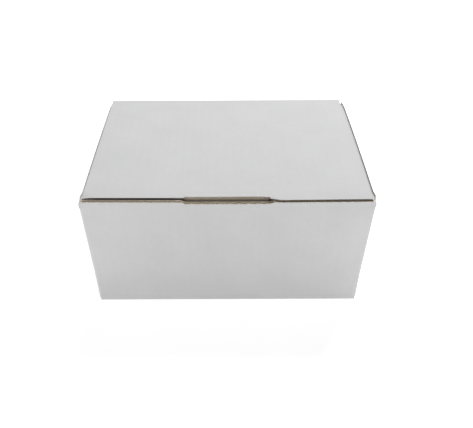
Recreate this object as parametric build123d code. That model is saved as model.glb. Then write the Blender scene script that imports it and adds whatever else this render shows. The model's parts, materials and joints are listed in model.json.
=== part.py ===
from build123d import *

# A mailer box folded from one sheet of corrugated board.  The tray is the base with its front and back
# walls, the rolled side walls and the corner flaps.  The lid is the same sheet's top panel with its
# tuck flap, and it swings on the crease along the top of the back wall.
# Millimetres.  The origin is the centre of the underside, +Z is up and the front faces -Y.

import os
from math import asin, cos, degrees, radians, sin, tan

# Overall sizes
box_width = 200.0
box_depth = 140.0
box_height = 100.0

# Board and folds
board = 3.0  # thickness of the board
layer_gap = 0.25  # air between two layers folded against each other
fold_outer = 2.4  # radius of the outer liner round a crease
fold_inner = 0.3  # radius of the inner liner in a crease

# Front and back walls
front_drop = 1.3  # the front wall's raw top edge lies this far below the lid's top
shoulder_inset = 0.8  # raw ends of the walls, above and below a corner flap
notch_width = 63.5  # finger notch at the top of the front wall
notch_taper = 3.3
notch_depth = 1.4

# Corner flaps, folded back inside the side walls
flap_reach = 52.0  # from the wall's middle plane to the flap's tip
flap_overfold = 45.0  # degrees past square, so the flap's root slips behind the side panel

# Inner side panels and their locking tabs
inner_panel_clearance = 1.5  # to the front and back walls
tab_length = 30.0
tab_spacing = 64.0
tab_taper = 1.2
tab_recess = 0.3  # the tab's end stops this far above the underside
slot_end_clearance = 0.5

# Lid and tuck flap
lid_side_inset = 1.5  # the lid's raw side edge, in from the side wall's outer face
lid_front_clearance = 0.8  # between the front wall and the tuck flap
hinge_clearance = 0.3  # between the back wall's top and the lid's rounded hinge edge
tuck_length = 36.0
tuck_side_clearance = 1.4
tuck_corner_radius = 14.0
finger_slot_width = 63.5  # at the crease
finger_slot_taper = 2.7
finger_slot_set_back = 0.6  # from the crease's front to the panel's cut edge

cut_margin = 1.0  # how far a cutting solid runs past the board

# Derived places
half_width = box_width / 2
half_depth = box_depth / 2
half_board = board / 2
wall_inside = half_depth - board
side_top = box_height - board
front_top = box_height - front_drop
hinge_y = half_depth - half_board
hinge_z = box_height - half_board
back_top = side_top - hinge_clearance
corner_flap_x = half_width - board - layer_gap - half_board
inner_panel_x = corner_flap_x - board - layer_gap
side_inside = inner_panel_x - half_board
corner_flap_low = board + layer_gap
corner_flap_high = side_top - board - layer_gap
inner_panel_half = wall_inside - inner_panel_clearance


def crease_factor(overfold: float) -> float:
    """Ratio of a fold's mitre reach to its offset, for a fold of 90 degrees plus overfold."""
    return tan(radians(45.0 + overfold / 2))


def crease_inset(overfold: float) -> float:
    """Distance from a rounded fold's outermost line in to the corner of its centre line."""
    factor = crease_factor(overfold)
    return half_board * factor - fold_outer * (factor - 1.0)


def offset_points(points: list, distance: float) -> list:
    """Points of a polyline moved sideways, to its left for a positive distance, with mitred corners."""
    path = [Vector(x, y) for x, y in points]
    steps = [(after - before).normalized() for before, after in zip(path, path[1:])]
    normals = [Vector(-step.Y, step.X) for step in steps]
    moved = [path[0] + normals[0] * distance]
    for corner, first, second in zip(path[1:-1], normals, normals[1:]):
        both = first + second
        moved.append(corner + both * (2 * distance / both.dot(both)))
    moved.append(path[-1] + normals[-1] * distance)
    return moved


def fold_radii(points: list, side: int) -> list:
    """Radius at each corner on one side of a strip, +1 for its left: tight inside a fold, wide outside."""
    path = [Vector(x, y) for x, y in points]
    radii = []
    for before, corner, after in zip(path, path[1:], path[2:]):
        turn = (corner - before).cross(after - corner).Z
        radii.append(fold_inner if turn * side > 0 else fold_outer)
    return radii


def board_section(points: list) -> Face:
    """Section of the board along a centre line, with square raw ends and a rounded crease at each corner."""
    left = offset_points(points, half_board)
    right = offset_points(points, -half_board)
    left_edge = FilletPolyline(*left, radius=fold_radii(points, 1))
    right_edge = FilletPolyline(*right, radius=fold_radii(points, -1))
    start = Line(left[0], right[0])
    end = Line(left[-1], right[-1])
    edges = left_edge.edges() + right_edge.edges() + start.edges() + end.edges()
    return make_face(edges)


def run(section: Face, plane: Plane, half_length: float) -> Part:
    """A section on a plane through the origin, run the same distance to both sides."""
    return extrude(plane * section, amount=half_length, both=True)


def block(x: tuple, y: tuple, z: tuple) -> Part:
    """A box from its low and high limit along each axis."""
    size = (x[1] - x[0], y[1] - y[0], z[1] - z[0])
    centre = ((x[0] + x[1]) / 2, (y[0] + y[1]) / 2, (z[0] + z[1]) / 2)
    return Pos(*centre) * Box(*size)


def both_sides(part: Part) -> list:
    """A right-hand solid and its left-hand twin."""
    return [part, mirror(part, about=Plane.YZ)]


def all_corners(part: Part) -> list:
    """A solid at the right front corner and its twins at the other three."""
    pair = both_sides(part)
    return pair + [mirror(each, about=Plane.XZ) for each in pair]


# Corner flap in plan: along the wall, round the corner past square, then straight back
root_x = half_width - crease_inset(flap_overfold)
root_y = -(half_depth - half_board)
bend_y = root_y + (root_x - corner_flap_x) / tan(radians(flap_overfold))
bend_relief = half_board * tan(radians(flap_overfold / 2))
outer_panel_half = -bend_y - bend_relief - layer_gap


def corner_flap() -> Part:
    """The right front corner: the wall's last stretch, and the flap to its tip between the side panels."""
    plan = [
        (side_inside, root_y),
        (root_x, root_y),
        (corner_flap_x, bend_y),
        (corner_flap_x, root_y + flap_reach),
    ]
    height = corner_flap_high - corner_flap_low
    return Pos(0, 0, corner_flap_low) * extrude(board_section(plan), amount=height)


def wall_column() -> Part:
    """Front wall, base and back wall as one folded run, cut away where the corner and side folds begin."""
    profile = [(root_y, front_top), (root_y, half_board), (hinge_y, half_board), (hinge_y, back_top)]
    column = run(board_section(profile), Plane.YZ, half_width - shoulder_inset)
    beyond = (side_inside, half_width + cut_margin)
    flap_cut = block(
        beyond, (-half_depth - cut_margin, -wall_inside + cut_margin), (corner_flap_low, corner_flap_high)
    )
    base_cut = block(beyond, (-outer_panel_half, outer_panel_half), (-cut_margin, board + cut_margin))
    for cutter in all_corners(flap_cut) + both_sides(base_cut):
        column -= cutter
    return column


def side_roll() -> list:
    """The right side wall: outer panel up from the base, over the top and down inside.

    The outer panel is a little shorter than the rest, so the top and inner panel run on at each end.
    """
    spine_z = side_top - half_board
    outer_x = half_width - half_board
    inner = [(outer_x, spine_z), (inner_panel_x, spine_z), (inner_panel_x, board + layer_gap)]
    whole = [(side_inside, half_board), (outer_x, half_board)] + inner
    roll = run(board_section(whole), Plane.XZ, outer_panel_half)
    end_plane = Plane.XZ.offset(outer_panel_half)
    end = extrude(end_plane * board_section(inner), amount=inner_panel_half - outer_panel_half)
    return [roll, end, mirror(end, about=Plane.XZ)]


def locking_tab(centre_y: float) -> Part:
    """One tab at the foot of the right inner side panel, tapered towards its end."""
    top = board + 2 * layer_gap
    half = tab_length / 2
    outline = Polyline(
        (centre_y - half, top),
        (centre_y + half, top),
        (centre_y + half, board),
        (centre_y + half - tab_taper, tab_recess),
        (centre_y - half + tab_taper, tab_recess),
        (centre_y - half, board),
        close=True,
    )
    return Pos(inner_panel_x, 0, 0) * run(make_face(outline), Plane.YZ, half_board)


def tab_slot(centre_y: float) -> Part:
    """The slot in the base that a locking tab goes down into."""
    half_slot = half_board + layer_gap
    half = tab_length / 2 + slot_end_clearance
    return block(
        (inner_panel_x - half_slot, inner_panel_x + half_slot),
        (centre_y - half, centre_y + half),
        (-cut_margin, board + layer_gap / 2),
    )


def tapered_cut(width: float, taper: float, near: float, far: float) -> Face:
    """A symmetric outline, wide at the near value and narrower by the taper at each end at the far one."""
    outline = Polyline(
        (-width / 2, near),
        (width / 2, near),
        (width / 2 - taper, far),
        (-width / 2 + taper, far),
        close=True,
    )
    return make_face(outline)


def make_tray() -> Part:
    """Base, walls, rolled sides and corner flaps: the whole sheet below the lid's crease."""
    tray = wall_column()
    for flap in all_corners(corner_flap()):
        tray += flap
    for piece in side_roll():
        for side in both_sides(piece):
            tray += side
    for centre_y in (-tab_spacing / 2, tab_spacing / 2):
        for slot in both_sides(tab_slot(centre_y)):
            tray -= slot
        for tab in both_sides(locking_tab(centre_y)):
            tray += tab
    notch = tapered_cut(notch_width, notch_taper, front_top, front_top - notch_depth)
    above = tapered_cut(notch_width, 0.0, front_top + cut_margin, front_top)
    front_plane = Plane.XZ.offset(half_depth - half_board)
    for opening in (notch, above):
        tray -= run(opening, front_plane, board)
    return tray


def make_lid() -> Part:
    """The lid panel with its rounded hinge edge, full-width front crease, tuck flap and finger slot."""
    lid_front = wall_inside - lid_front_clearance
    lean = degrees(asin(tuck_length / 2 / (hinge_y + lid_front)))
    crease_y = -lid_front + crease_inset(lean)
    tip = (crease_y + tuck_length * sin(radians(lean)), hinge_z - tuck_length * cos(radians(lean)))
    half_lid = half_width - lid_side_inset
    half_tuck = side_inside - tuck_side_clearance
    lid = run(board_section([(hinge_y, hinge_z), (crease_y, hinge_z), tip]), Plane.YZ, half_lid)
    lid += Pos(0, hinge_y, hinge_z) * Rot(0, 90, 0) * Cylinder(half_board, 2 * half_lid)

    # The tuck flap is narrower than the crease and has rounded lower corners
    tuck_low = tip[1] - board
    beside = block((half_tuck, half_width), (-half_depth, 0), (tuck_low - cut_margin, side_top))
    corner_centre = (half_tuck - tuck_corner_radius, tip[1] + tuck_corner_radius)
    corner = block(
        (corner_centre[0], half_width), (-half_depth, 0), (tuck_low - cut_margin, corner_centre[1])
    )
    corner -= Pos(corner_centre[0], 0, corner_centre[1]) * Rot(90, 0, 0) * Cylinder(
        tuck_corner_radius, 2 * box_depth
    )
    for cutter in both_sides(beside) + both_sides(corner):
        lid -= cutter

    # Finger slot: the board is cut through at the crease, so there the panel runs on flat to a raw edge
    panel_edge = -lid_front + finger_slot_set_back
    slot = tapered_cut(finger_slot_width, finger_slot_taper, -lid_front - cut_margin, panel_edge)
    lid -= Pos(0, 0, side_top) * extrude(slot, amount=board + cut_margin)
    half_slot = finger_slot_width / 2 - finger_slot_taper
    lid += block((-half_slot, half_slot), (panel_edge, fold_outer - lid_front), (side_top, box_height))
    return lid


nodes = {"tray": make_tray(), "lid": make_lid()}

os.makedirs("parts", exist_ok=True)
for name, part in nodes.items():
    solids = part.solids()
    print(name, "solids", len(solids), "volume", round(part.volume, 1), part.bounding_box())
    export_step(part, f"parts/{name}.step")
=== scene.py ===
"""A mailer box folded from one sheet of corrugated board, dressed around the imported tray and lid.

The board is made as it is in life: a white outer liner, a brown inner liner and a waved sheet between
them.  Each run of the sheet follows its folds, and the waves show wherever the board is cut.
"""

import json
import logging
import math
from dataclasses import dataclass
from enum import Enum
from typing import Any, Callable, Iterable, Optional, Sequence

import bmesh
import bpy
import numpy as np
from mathutils import Matrix, Vector


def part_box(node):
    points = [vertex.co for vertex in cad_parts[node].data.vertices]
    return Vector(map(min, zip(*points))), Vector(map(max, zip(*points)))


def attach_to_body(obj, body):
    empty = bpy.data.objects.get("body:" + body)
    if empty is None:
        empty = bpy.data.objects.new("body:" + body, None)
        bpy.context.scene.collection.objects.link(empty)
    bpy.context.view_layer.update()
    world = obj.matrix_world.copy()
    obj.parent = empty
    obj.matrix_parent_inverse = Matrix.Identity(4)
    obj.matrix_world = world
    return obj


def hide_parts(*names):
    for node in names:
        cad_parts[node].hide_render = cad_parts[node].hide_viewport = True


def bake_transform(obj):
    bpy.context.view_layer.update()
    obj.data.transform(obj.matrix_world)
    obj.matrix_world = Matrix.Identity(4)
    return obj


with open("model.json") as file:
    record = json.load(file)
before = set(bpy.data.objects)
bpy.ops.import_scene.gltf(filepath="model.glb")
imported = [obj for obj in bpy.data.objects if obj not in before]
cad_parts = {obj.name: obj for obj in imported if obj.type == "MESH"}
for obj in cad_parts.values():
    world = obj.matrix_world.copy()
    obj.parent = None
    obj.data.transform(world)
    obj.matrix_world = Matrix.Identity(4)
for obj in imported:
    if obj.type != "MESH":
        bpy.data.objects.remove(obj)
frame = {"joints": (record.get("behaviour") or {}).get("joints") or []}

LOG = logging.getLogger("mailer_box")
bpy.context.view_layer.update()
MM = 0.001
SAME = 1e-6  # lengths closer than this are one place
CREASE_POWER = 6  # how square the outer skin of a fold is: 2 is round
CREASE_REACH = 1.3  # the furthest it stands out, as a share of the round fold's radius
OVERFOLD_REACH = 1.15  # the same for a fold well past square
OVERFOLD_FROM = math.radians(100)
CREASE_FADE = 1.6 * MM  # how far past a fold the paper is still creased
PHASE_STEP = 0.37  # of a wave, by which each stretch of the waved sheet is cut later than the last
SHARP_FROM = math.radians(35)  # edges that turn more than this are shaded sharp
OUTER = -1  # the side of a run's middle line that the white liner is on
INNER = 1
Point2 = tuple[float, float]
Point3 = tuple[float, float, float]
Colour = tuple[float, float, float]
Layer = tuple[float, int]  # a face's offset from the middle line, and the side whose folds it follows


class Plane(Enum):
    """Row axes of a run's drawn section (two) and of its width (one)."""

    COLUMN = (1, 2, 0)
    ROLL = (0, 2, 1)
    WRAP = (0, 1, 2)


class Paint(Enum):
    """Which finish a face of the paper takes, as its material index."""

    SHOW = 0
    CUT = 1


@dataclass(frozen=True)
class Board:
    """Corrugated board: two liners with a waved sheet between them."""

    thickness: float = 3.0 * MM
    liner: float = 0.34 * MM
    wave_paper: float = 0.28 * MM
    pitch: float = 6.4 * MM
    layer_gap: float = 0.25 * MM
    fold_outer: float = 2.4 * MM
    fold_inner: float = 0.3 * MM

    @property
    def half(self) -> float:
        """Half the board's thickness."""
        return self.thickness / 2

    @property
    def core(self) -> float:
        """Distance from the board's middle plane to a liner's hidden face."""
        return self.half - self.liner

    @property
    def swing(self) -> float:
        """How far the waved sheet's middle swings to each side."""
        return self.core - self.wave_paper / 2


@dataclass(frozen=True)
class BoxSizes:
    """The folded box's main places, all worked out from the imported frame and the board."""

    board: Board
    half_width: float
    half_depth: float
    height: float
    front_top: float
    half_lid: float
    lid_front: float
    tuck_tip: float
    hinge: Vector

    @classmethod
    def from_frame(cls, board: Board) -> "BoxSizes":
        """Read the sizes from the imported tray, lid and hinge.

        Args:
            board: The board the box is folded from.

        Returns:
            The sizes, in metres in the row frame.
        """
        _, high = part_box("tray")
        lid_low, lid_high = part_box("lid")
        joint = next(j for j in frame["joints"] if j["name"] == "lid_hinge")
        return cls(
            board=board,
            half_width=high.x,
            half_depth=high.y,
            height=lid_high.z,
            front_top=high.z,
            half_lid=lid_high.x,
            lid_front=-lid_low.y,
            tuck_tip=lid_low.z,
            hinge=Vector(joint["pos_m"]),
        )

    @property
    def side_top(self) -> float:
        """Height of the side walls' tops, which the lid lies on."""
        return self.height - self.board.thickness

    @property
    def wall_inside(self) -> float:
        """Distance from the middle to the front and back walls' inner faces."""
        return self.half_depth - self.board.thickness

    @property
    def inner_panel_x(self) -> float:
        """Middle plane of an inner side panel."""
        return self.half_width - 2.5 * self.board.thickness - 2 * self.board.layer_gap

    @property
    def corner_flap_x(self) -> float:
        """Middle plane of a corner flap, between the two side panels."""
        return self.half_width - 1.5 * self.board.thickness - self.board.layer_gap

    @property
    def side_inside(self) -> float:
        """Inner face of an inner side panel."""
        return self.inner_panel_x - self.board.half


class FoldPath:
    """The middle line of a folded run in section, with a rounded fold at each corner."""

    def __init__(self, corners: Sequence[Point2], board: Board) -> None:
        """Prepare the run.

        Args:
            corners: The sharp corners of the middle line, from one raw end to the other.
            board: The board, for its fold radii.
        """
        self.board = board
        self.corners = [np.array(corner, float) for corner in corners]
        steps = [after - before for before, after in zip(self.corners, self.corners[1:])]
        lengths = [float(np.linalg.norm(step)) for step in steps]
        self.directions = [step / length for step, length in zip(steps, lengths)]
        self.normals = [np.array((-d[1], d[0])) for d in self.directions]
        self.marks = [0.0]
        for length in lengths:
            self.marks.append(self.marks[-1] + length)
        self.turns = [
            math.atan2(a[0] * b[1] - a[1] * b[0], float(a @ b))
            for a, b in zip(self.directions, self.directions[1:])
        ]

    @property
    def length(self) -> float:
        """Length of the middle line with sharp corners."""
        return self.marks[-1]

    def _centre_depth(self, turn: float, side: int) -> float:
        """Find a fold's centre.

        Args:
            turn: The fold's angle, with its sign.
            side: The liner, INNER or OUTER.

        Returns:
            Its distance from the middle line, towards the inside of the turn.
        """
        if side * turn > 0:
            return self.board.half + self.board.fold_inner
        return self.board.fold_outer - self.board.half

    def foot(self, corner: int, side: int) -> float:
        """Distance from a corner to where its rounding begins, for the liner on one side."""
        turn = self.turns[corner - 1]
        return self._centre_depth(turn, side) * math.tan(abs(turn) / 2)

    def locate(self, distance: float, offset: float, side: int) -> np.ndarray:
        """Place a point of the sheet.

        Args:
            distance: How far along the middle line.
            offset: How far to the left of it.
            side: Whose rounding to follow, INNER or OUTER.

        Returns:
            The point in the run's section.
        """
        for corner, turn in enumerate(self.turns, start=1):
            foot = self.foot(corner, side)
            if abs(distance - self.marks[corner]) < foot:
                share = (distance - self.marks[corner] + foot) / (2 * foot)
                inward = math.copysign(self._centre_depth(turn, side), turn)
                square = squareness(abs(turn) * share, abs(turn)) if side * turn < 0 else 1.0
                normal = self.normals[corner - 1]
                start = self.corners[corner] - self.directions[corner - 1] * foot
                angle = turn * share
                turned = np.array(
                    (
                        normal[0] * math.cos(angle) - normal[1] * math.sin(angle),
                        normal[0] * math.sin(angle) + normal[1] * math.cos(angle),
                    )
                )
                return start + normal * inward + turned * (offset - inward) * square
        run = 0
        while run < len(self.directions) - 1 and distance > self.marks[run + 1]:
            run += 1
        along = distance - self.marks[run]
        return self.corners[run] + self.directions[run] * along + self.normals[run] * offset

    def stations(
        self, side: int, step: float, extra: Iterable[float] = (), arc_steps: int = 8
    ) -> list[float]:
        """Distances at which the run is divided.

        Args:
            side: The liner, INNER or OUTER.
            step: The widest flat stretch.
            extra: Distances that have to be among them.
            arc_steps: Divisions of each fold.

        Returns:
            The distances in order.
        """
        found = [0.0, self.length, *extra]
        for corner in range(1, len(self.corners) - 1):
            foot = self.foot(corner, side)
            start = self.marks[corner] - foot
            found += [start + 2 * foot * k / arc_steps for k in range(arc_steps + 1)]
        return spread(found, step)

    def crease(self, distance: float, side: int) -> float:
        """Find how creased the paper is.

        Args:
            distance: How far along the middle line.
            side: The liner, INNER or OUTER.

        Returns:
            0 on the flat, rising to 1 in a fold.
        """
        gaps = [
            max(0.0, abs(distance - self.marks[corner]) - self.foot(corner, side))
            for corner in range(1, len(self.corners) - 1)
        ]
        return math.exp(-((min(gaps, default=1.0) / CREASE_FADE) ** 2))


def squareness(angle: float, turn: float) -> float:
    """Find how much further out than a round fold the outer skin of a crease stands.

    Args:
        angle: How far round the fold, from its start.
        turn: The whole fold's angle.

    Returns:
        The factor on the round fold's radius, 1 at both ends.
    """
    near, far = max(0.0, math.cos(angle)), max(0.0, math.cos(turn - angle))
    reach = OVERFOLD_REACH if turn > OVERFOLD_FROM else CREASE_REACH
    return min(reach, (near**CREASE_POWER + far**CREASE_POWER) ** (-1 / CREASE_POWER))


def spread(values: Iterable[float], step: float) -> list[float]:
    """Sort distances, drop doubles and divide stretches wider than the step.

    Args:
        values: The distances that have to be kept.
        step: The widest stretch.

    Returns:
        The distances in order.
    """
    kept: list[float] = []
    for value in sorted(values):
        if not kept or value - kept[-1] > SAME:
            kept.append(value)
    filled = [kept[0]]
    for before, after in zip(kept, kept[1:]):
        pieces = max(1, math.ceil((after - before) / step - SAME))
        filled += [before + (after - before) * k / pieces for k in range(1, pieces + 1)]
    return filled


def mirrored(values: Iterable[float]) -> list[float]:
    """Each value with its opposite."""
    return [sign * value for value in values for sign in (-1, 1)]


def ease(value: float, low: float, high: float) -> float:
    """Step smoothly from 0 to 1.

    Args:
        value: The value to judge.
        low: Up to here the step is 0.
        high: From here it is 1.

    Returns:
        The step.
    """
    share = min(1.0, max(0.0, (value - low) / (high - low)))
    return share * share * (3 - 2 * share)


@dataclass
class Slab:
    """One closed sheet of paper along a run, between two offsets from its middle line."""

    path: FoldPath
    plane: Plane
    shown: Layer
    hidden: Layer
    distances: list[float]
    widths: list[float]
    keep: Callable[[float, float], bool] = lambda distance, width: True
    shape: Callable[[float, float], Point2] = lambda distance, width: (distance, width)
    across_width: bool = True
    flip_x: bool = False
    flip_y: bool = False


class PaperMesh:
    """Collects closed slabs of paper and turns them into one piece."""

    def __init__(self) -> None:
        """Start with nothing."""
        self.points: list[Point3] = []
        self.faces: list[tuple[int, ...]] = []
        self.paints: list[int] = []
        self.sheet: list[Point2] = []
        self.crease: list[float] = []
        self.rim: list[float] = []

    def add(self, slab: Slab) -> None:
        """Add a slab, leaving out the cells that it doesn't keep and closing every edge.

        Args:
            slab: The slab to add.
        """
        rows, columns = len(slab.distances) - 1, len(slab.widths) - 1
        mid_distances = [(a + b) / 2 for a, b in zip(slab.distances, slab.distances[1:])]
        mid_widths = [(a + b) / 2 for a, b in zip(slab.widths, slab.widths[1:])]
        kept = {
            (i, j)
            for i in range(rows)
            for j in range(columns)
            if slab.keep(mid_distances[i], mid_widths[j])
        }
        numbers: dict[tuple[int, int, int], int] = {}

        def corner(i: int, j: int, layer: int) -> int:
            """Number a grid point, recording it the first time.

            Args:
                i: Its row.
                j: Its column.
                layer: 0 for the shown face, 1 for the hidden one.

            Returns:
                Its number.
            """
            key = (i, j, layer)
            if key not in numbers:
                numbers[key] = len(self.points)
                around = {(i - 1, j - 1), (i - 1, j), (i, j - 1), (i, j)}
                self._place(slab, slab.distances[i], slab.widths[j], layer, not around <= kept)
            return numbers[key]

        for i, j in kept:
            for layer, paint in ((0, Paint.SHOW), (1, Paint.CUT)):
                ring = [(i, j), (i + 1, j), (i + 1, j + 1), (i, j + 1)]
                self._face([corner(a, b, layer) for a, b in ring], paint, layer == 1)
            for near, start, end in (
                ((i - 1, j), (i, j + 1), (i, j)),
                ((i + 1, j), (i + 1, j), (i + 1, j + 1)),
                ((i, j - 1), (i, j), (i + 1, j)),
                ((i, j + 1), (i + 1, j + 1), (i, j + 1)),
            ):
                if near not in kept:
                    wall = [corner(*start, 0), corner(*start, 1), corner(*end, 1), corner(*end, 0)]
                    self._face(wall, Paint.CUT, False)

    def _place(self, slab: Slab, distance: float, width: float, layer: int, rim: bool) -> None:
        """Record one grid point with its place on the flat sheet and its wear.

        Args:
            slab: The slab it belongs to.
            distance: How far along the run.
            width: Where across it.
            layer: 0 for the shown face, 1 for the hidden one.
            rim: Whether it is on a cut edge.
        """
        distance, width = slab.shape(distance, width)
        offset, side = slab.hidden if layer else slab.shown
        first, second = slab.path.locate(distance, offset, side)
        spot = [0.0, 0.0, 0.0]
        for axis, value in zip(slab.plane.value, (first, second, width)):
            spot[axis] = float(value)
        if slab.flip_x:
            spot[0] = -spot[0]
        if slab.flip_y:
            spot[1] = -spot[1]
        self.points.append(tuple(spot))
        self.sheet.append((width, distance) if slab.across_width else (distance, width))
        self.crease.append(slab.path.crease(distance, side))
        self.rim.append(1.0 if rim else 0.0)

    def _face(self, ring: list[int], paint: Paint, turned: bool) -> None:
        """Record a face.

        Args:
            ring: The numbers of its corners.
            paint: Its finish.
            turned: Whether it is turned over.
        """
        self.faces.append(tuple(reversed(ring)) if turned else tuple(ring))
        self.paints.append(paint.value)

    def build(
        self, name: str, settle: "Settle", show: bpy.types.Material, cut: bpy.types.Material
    ) -> bpy.types.Object:
        """Make the piece.

        Args:
            name: The piece's name.
            settle: How the folded box has settled out of true.
            show: The material of the paper's shown face.
            cut: The material of its back and cut edges.

        Returns:
            The finished object, at the origin.
        """
        mesh = bpy.data.meshes.new(name)
        mesh.from_pydata([settle.move(*point) for point in self.points], [], self.faces)
        mesh.materials.append(show)
        mesh.materials.append(cut)
        mesh.polygons.foreach_set("material_index", self.paints)
        for label, values in (("crease", self.crease), ("rim", self.rim)):
            mesh.attributes.new(label, "FLOAT", "POINT").data.foreach_set("value", values)
        layer = mesh.uv_layers.new(name="sheet")
        loops = np.empty(len(mesh.loops), np.int32)
        mesh.loops.foreach_get("vertex_index", loops)
        layer.data.foreach_set("uv", np.array(self.sheet, np.float32)[loops].ravel())
        return finish_mesh(mesh)


def finish_mesh(mesh: bpy.types.Mesh) -> bpy.types.Object:
    """Point a mesh's faces outwards, shade its folds smoothly and put it in the scene.

    Args:
        mesh: The mesh, in place.

    Returns:
        Its object, at the origin.
    """
    work = bmesh.new()
    work.from_mesh(mesh)
    bmesh.ops.recalc_face_normals(work, faces=work.faces)
    work.to_mesh(mesh)
    work.free()
    mesh.polygons.foreach_set("use_smooth", [True] * len(mesh.polygons))
    mesh.set_sharp_from_angle(angle=SHARP_FROM)
    mesh.validate()
    piece = bpy.data.objects.new(mesh.name, mesh)
    bpy.context.scene.collection.objects.link(piece)
    return piece


@dataclass(frozen=True)
class Settle:
    """How a hand-folded part sits a little out of true."""

    sizes: BoxSizes

    def move(self, x: float, y: float, z: float) -> Point3:
        """Move one point of the sheet.

        Args:
            x: Its place across.
            y: Its place from front to back.
            z: Its height.

        Returns:
            The settled place.
        """
        return x, y, z


@dataclass(frozen=True)
class TraySettle(Settle):
    """The tray's front wall bows out at its top, and its rolled sides stand proud beside the lid."""

    front_bow: float = 0.9 * MM  # of the front wall, at its top
    bow_middle: float = 0.2  # where along the width the bows are widest
    bow_spread: float = 1.3
    foot_out: float = 1.2 * MM  # how far the front wall's foot stands out
    foot_share: float = 0.3  # how far up the wall that reaches
    shoulder_rise: float = 2.0 * MM  # of the side walls' crests
    shoulder_out: float = 0.7 * MM
    right_out: float = 0.3 * MM  # added on the right and taken off on the left
    side_bow: float = 0.5 * MM
    back_fade: float = 0.4  # how much of the shoulder is lost at the back
    corner_out: float = 0.9 * MM  # at the front corners

    def move(self, x: float, y: float, z: float) -> Point3:
        """Bow the front wall, and push the sides' outer shoulders up and out.

        Args:
            x: Its place across.
            y: Its place from front to back.
            z: Its height.

        Returns:
            The settled place.
        """
        box, thick = self.sizes, self.sizes.board.thickness
        across = x / box.half_width - self.bow_middle
        along = y / box.half_depth - self.bow_middle
        rise = max(0.0, z / box.front_top)
        in_front = ease(-y, box.wall_inside - 2 * thick, box.wall_inside)
        bow = self.front_bow * rise * rise * max(0.0, 1 - across**2 / self.bow_spread) * in_front
        bow += self.foot_out * (1 - ease(z, 0.0, self.foot_share * box.front_top)) * in_front

        beside = 1 - ease(-y, box.wall_inside - thick, box.wall_inside - thick / 6)
        beside *= 1 - self.back_fade * ease(y, box.half_depth - 4 * thick, box.half_depth)
        outer = ease(abs(x), box.half_width - 1.35 * thick, box.half_width - 0.95 * thick)
        height = ease(z, box.side_top / 2, box.side_top - thick / 2)
        corner = ease(-y, box.half_depth - 4 * thick, box.half_depth - 2 * thick)
        corner *= ease(abs(x), box.half_width - 3 * thick, box.half_width)
        out = self.shoulder_out + (self.right_out if x > 0 else -self.right_out)
        push = self.corner_out * corner + (out + self.side_bow * (1 - along**2)) * outer * beside * height
        crest = ease(abs(x), box.half_width - 1.0 * MM, box.half_width - 0.2 * MM)
        lift = self.shoulder_rise * crest * beside * ease(z, box.side_top - 8 * MM, box.side_top - 2 * MM)
        return x + math.copysign(push, x), y - bow, z + lift


@dataclass(frozen=True)
class LidSettle(Settle):
    """The lid sits askew, and its front crease rolls into a lip with the tuck flap set in below it."""

    slot_half: float = 31.75 * MM
    shift: float = -0.1 * MM  # of the whole lid, across
    skew: float = -0.6 * MM  # added at the back
    lip: tuple[float, float] = (3.2 * MM, 2.5 * MM)  # right of the slot, and at the right corner
    left_lip: tuple[float, float] = (0.4 * MM, -0.1 * MM)  # left of the slot, and at the left corner
    lip_flatness: float = 0.9
    undercut: float = 2.2 * MM  # how far the tuck flap is set in below the lip
    corner_dip: float = 0.7 * MM
    corner_spread: float = 0.45 * MM
    sag: float = 0.25 * MM
    hinge_leg: float = 2.0 * MM

    def move(self, x: float, y: float, z: float) -> Point3:
        """Shift the lid, roll its front crease and let its middle sag.

        Args:
            x: Its place across.
            y: Its place from front to back.
            z: Its height.

        Returns:
            The settled place.
        """
        box = self.sizes
        beside_slot = (self.slot_half - 3.4 * MM, self.slot_half - 0.6 * MM)
        right, left = ease(x, *beside_slot), ease(-x, *beside_slot)
        front = ease(-y, box.lid_front - 4.0 * MM, box.lid_front - 0.3 * MM)
        near = ease(-y, box.lid_front - 5.5 * MM, box.lid_front - 3.2 * MM)
        above = ease(z, box.height - 1.35 * MM, box.height - 0.95 * MM)
        deep = ease(z, box.height - 16 * MM, box.height - 6 * MM)
        along = min(1.0, max(0.0, (abs(x) - self.slot_half) / (box.half_lid - self.slot_half)))
        reach = right * (self.lip[0] + (self.lip[1] - self.lip[0]) * along)
        reach += left * (self.left_lip[0] + (self.left_lip[1] - self.left_lip[0]) * along)
        forward = reach * front * above
        tucked = self.undercut * (right + left) * near * (1 - above) * deep
        raised = self.lip_flatness * (box.height - z) * (right + left) * near * above
        end = ease(abs(x), box.half_lid - 4.5 * MM, box.half_lid)
        dip = self.corner_dip * end * left * front * above
        spread_out = math.copysign(self.corner_spread, x) * end * front * above

        share = (y + box.half_depth) / (2 * box.half_depth)
        below = ((box.hinge.z - z) + (y - box.hinge.y)) / (2 * self.hinge_leg)
        slide = (self.shift + self.skew * share) * (1 - ease(below, 0.0, 1.0))
        sag = self.sag * max(0.0, 1 - (x / box.half_width) ** 2) * max(0.0, 1 - (y / box.half_depth) ** 2)
        if z < box.side_top - box.board.thickness:
            sag, slide = 0.0, self.shift
        return x + slide + spread_out, y - forward + tucked, z - sag - dip + raised


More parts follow.
